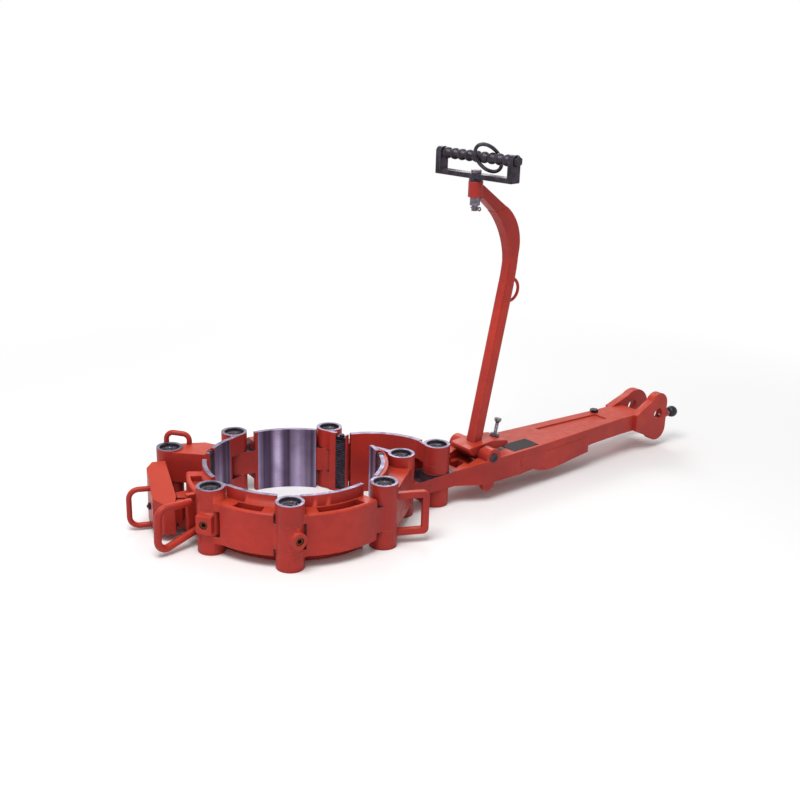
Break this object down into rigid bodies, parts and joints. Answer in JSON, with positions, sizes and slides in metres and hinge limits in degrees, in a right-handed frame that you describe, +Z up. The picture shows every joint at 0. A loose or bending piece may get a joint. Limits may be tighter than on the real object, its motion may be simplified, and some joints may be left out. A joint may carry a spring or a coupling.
{
  "type": "manual pipe tongs",
  "caption": "Manual rotary tongs: hinged jaws that close round a pipe, a latch, a lever with an end bore, and a hanger with a swivelling bail.",
  "frame": {"origin": "centre of the closed pipe bore at the underside of the jaws' bosses", "axes": "+Z up along the pipe's axis, +X along the lever towards its end, +Y to the side where the long jaw leads round the pipe"},
  "size_m": [1.6497, 0.5856, 0.9232],
  "materials": {
    "red_paint": "semi-gloss",
    "bare_steel": "worn",
    "black_steel": "satin",
    "bright_steel": "bright"
  },
  "bodies": {
    "lever": {"lever": "red_paint", "hanger_pin": "black_steel", "nameplate": "black_steel", "nameplate_rivets": "bright_steel", "lever_bolt": "black_steel", "pin_lock_gland": "bare_steel"},
    "long_jaw": {"long_jaw": "red_paint", "long_jaw_pins": "bare_steel", "long_jaw_clips": "black_steel", "long_jaw_die": "bare_steel", "long_jaw_die_bolts": "black_steel"},
    "back_jaw": {"back_jaw": "red_paint"},
    "carrier_jaw": {"carrier_jaw": "red_paint", "carrier_jaw_pins": "bare_steel", "carrier_jaw_clips": "black_steel", "carrier_jaw_die": "bare_steel", "carrier_jaw_die_bolts": "black_steel", "latch_spring": "bare_steel", "lifting_loop": "red_paint"},
    "latch": {"latch": "red_paint", "latch_bolt": "black_steel", "latch_handle": "red_paint"},
    "short_jaw": {"short_jaw": "red_paint", "short_jaw_pins": "bare_steel", "short_jaw_clips": "black_steel", "short_jaw_die": "bare_steel", "short_jaw_die_bolts": "black_steel", "side_handle": "red_paint"},
    "front_inner_jaw": {"front_inner_jaw": "red_paint", "front_inner_pin": "bare_steel", "front_inner_clip": "black_steel"},
    "front_outer_jaw": {"front_outer_jaw": "red_paint", "front_outer_pin": "bare_steel", "front_outer_clip": "black_steel", "front_pin_plug": "bare_steel"},
    "lug_jaw": {"lug_jaw": "red_paint", "lug_pin_plug": "bare_steel", "lug_handle": "red_paint"},
    "hanger": {"hanger": "red_paint", "hanger_ring": "red_paint", "lock_nut": "bright_steel", "swivel_bolt": "black_steel", "swivel_nut": "bare_steel", "swivel_cotter": "bare_steel"},
    "levelling_screw": {"levelling_screw": "bright_steel"},
    "bail": {"bail": "black_steel", "bail_bar": "black_steel", "bail_bar_nut": "black_steel"},
    "sling_link": {"sling_link": "black_steel"},
    "pin_lock": {"pin_lock": "black_steel", "pin_lock_knob": "black_steel"}
  },
  "joints": [
    {"name": "latch_swing", "type": "hinge", "parent": "carrier_jaw", "child": "latch", "pos_m": [-0.21212, 0.25279, 0.08], "axis": [0, 0, 1], "range_deg": [-120, 0]},
    {"name": "carrier_jaw_hinge", "type": "hinge", "parent": "back_jaw", "child": "carrier_jaw", "pos_m": [-0.01786, 0.25538, 0.08], "axis": [0, 0, 1], "range_deg": [-41, 0]},
    {"name": "back_jaw_hinge", "type": "hinge", "parent": "long_jaw", "child": "back_jaw", "pos_m": [0.21223, 0.14315, 0.08], "axis": [0, 0, 1], "range_deg": [-11, 0]},
    {"name": "long_jaw_hinge", "type": "hinge", "parent": "lever", "child": "long_jaw", "pos_m": [0.366, -0.117, 0.08], "axis": [0, 0, 1], "range_deg": [-6.2, 0]},
    {"name": "short_jaw_hinge", "type": "hinge", "parent": "lever", "child": "short_jaw", "pos_m": [0.2485, -0.117, 0.08], "axis": [0, 0, 1], "range_deg": [0, 2.5]},
    {"name": "front_inner_jaw_hinge", "type": "hinge", "parent": "short_jaw", "child": "front_inner_jaw", "pos_m": [0.10003, -0.23565, 0.08], "axis": [0, 0, 1], "range_deg": [0, 2.5]},
    {"name": "front_outer_jaw_hinge", "type": "hinge", "parent": "front_inner_jaw", "child": "front_outer_jaw", "pos_m": [-0.15047, -0.20711, 0.08], "axis": [0, 0, 1], "range_deg": [0, 3.7]},
    {"name": "lug_jaw_hinge", "type": "hinge", "parent": "front_outer_jaw", "child": "lug_jaw", "pos_m": [-0.2546, -0.02676, 0.08], "axis": [0, 0, 1], "range_deg": [0, 12.2]},
    {"name": "hanger_tilt", "type": "hinge", "parent": "lever", "child": "hanger", "pos_m": [0.499, -0.117, 0.119], "axis": [0, 1, 0], "range_deg": [-12, 0]},
    {"name": "levelling_screw_travel", "type": "slide", "parent": "hanger", "child": "levelling_screw", "axis": [-0.1994, 0, -0.9799], "range_m": [0, 0.014]},
    {"name": "bail_swivel", "type": "hinge", "parent": "hanger", "child": "bail", "pos_m": [0.457, -0.117, 0.84], "axis": [0, 0, 1], "continuous": true},
    {"name": "sling_link_swing", "type": "hinge", "parent": "bail", "child": "sling_link", "pos_m": [0.457, -0.117, 0.887], "axis": [0.0698, -0.9976, 0], "range_deg": [-60, 60]},
    {"name": "pin_lock_slide", "type": "slide", "parent": "lever", "child": "pin_lock", "axis": [1, 0, 0], "range_m": [0, 0.014]}
  ],
  "couplings": [
    {"joint": "carrier_jaw_hinge", "follows": "latch_swing", "ratio": 0.34},
    {"joint": "back_jaw_hinge", "follows": "latch_swing", "ratio": 0.09},
    {"joint": "long_jaw_hinge", "follows": "latch_swing", "ratio": 0.05},
    {"joint": "short_jaw_hinge", "follows": "latch_swing", "ratio": -0.02},
    {"joint": "front_inner_jaw_hinge", "follows": "latch_swing", "ratio": -0.02},
    {"joint": "front_outer_jaw_hinge", "follows": "latch_swing", "ratio": -0.03},
    {"joint": "lug_jaw_hinge", "follows": "latch_swing", "ratio": -0.1},
    {"joint": "levelling_screw_travel", "follows": "hanger_tilt", "m_per_rad": -0.0655}
  ]
}
